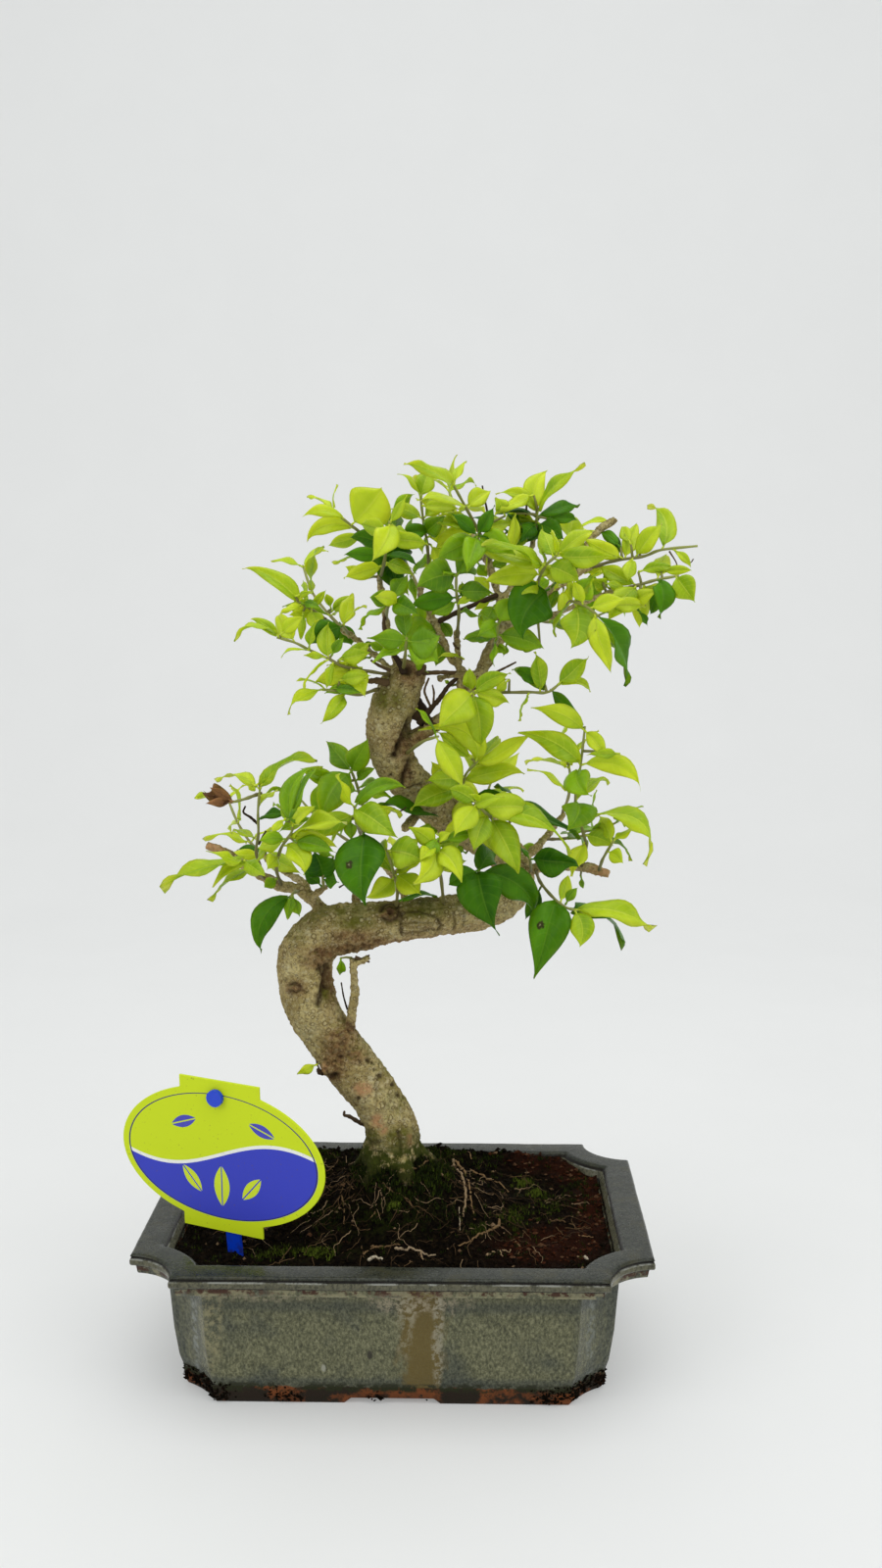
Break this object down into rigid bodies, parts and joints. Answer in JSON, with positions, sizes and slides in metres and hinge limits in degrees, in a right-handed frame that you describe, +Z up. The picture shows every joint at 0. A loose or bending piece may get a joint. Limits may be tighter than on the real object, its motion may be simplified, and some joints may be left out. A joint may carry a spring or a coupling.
{
  "type": "bonsai tree in pot",
  "caption": "Potted Chinese privet bonsai with an S-curved trunk, leafy shoots in tiers, mossy peat soil, a glazed notched-corner pot and an oval plant tag on a stake.",
  "frame": {"origin": "middle of the whole object's box, on the surface that the pot stands on", "axes": "+Z up, +X along the pot's long side to the right as seen from the front, the front with the tag faces -Y"},
  "size_m": [0.2222, 0.1558, 0.3649],
  "materials": {
    "bark": "matte",
    "young_leaf": "satin",
    "mature_leaf": "satin",
    "old_leaf": "satin",
    "dead_leaf": "matte",
    "glaze": "satin",
    "soil": "matte",
    "label_face": "satin",
    "stake_plastic": "gloss",
    "net_plastic": "matte"
  },
  "bodies": {
    "root": {"back_shoot_bend": "mature_leaf", "back_shoot_crown_left": "young_leaf", "back_shoot_crown_low": "mature_leaf", "back_shoot_crown_mid": "mature_leaf", "back_shoot_crown_right": "young_leaf", "back_shoot_crown_top": "young_leaf", "back_shoot_left": "young_leaf", "back_shoot_low_left": "mature_leaf", "back_shoot_low_mid": "young_leaf", "back_shoot_low_right": "young_leaf", "dead_leaf_left": "dead_leaf", "drain_net_left": "net_plastic", "drain_net_right": "net_plastic", "label_plate": "label_face", "label_stake": "stake_plastic", "old_leaf_centre": "old_leaf", "old_leaf_far_left": "old_leaf", "old_leaf_front_left": "old_leaf", "old_leaf_front_mid": "old_leaf", "old_leaf_left": "old_leaf", "old_leaf_limb": "old_leaf", "old_leaf_mid_left_top": "old_leaf", "old_leaf_right": "old_leaf", "old_leaf_top_left": "old_leaf", "pot": "glaze", "shoot_centre_back": "mature_leaf", "shoot_centre_front": "young_leaf", "shoot_centre_up": "young_leaf", "shoot_crown": "young_leaf", "shoot_crown_front": "mature_leaf", "shoot_crown_right": "young_leaf", "shoot_front_left": "young_leaf", "shoot_front_mid": "young_leaf", "shoot_inner_left": "mature_leaf", "shoot_inner_low": "mature_leaf", "shoot_left_inner": "young_leaf", "shoot_left_mid": "young_leaf", "shoot_left_tip": "young_leaf", "shoot_left_top": "mature_leaf", "shoot_left_upright": "young_leaf", "shoot_limb_front": "young_leaf", "shoot_limb_mid": "mature_leaf", "shoot_limb_top": "mature_leaf", "shoot_low_right": "mature_leaf", "shoot_low_twig": "mature_leaf", "shoot_mid_left_low": "young_leaf", "shoot_mid_left_tip": "young_leaf", "shoot_right_front": "mature_leaf", "shoot_right_low": "young_leaf", "shoot_right_mid": "young_leaf", "shoot_right_stub": "young_leaf", "shoot_right_tip": "young_leaf", "shoot_right_upright": "young_leaf", "shoot_top_left": "young_leaf", "shoot_top_left_inner": "young_leaf", "shoot_top_right": "young_leaf", "shoot_trunk_front": "mature_leaf", "shoot_trunk_left": "young_leaf", "soil": "soil", "trunk": "bark"}
  },
  "joints": []
}
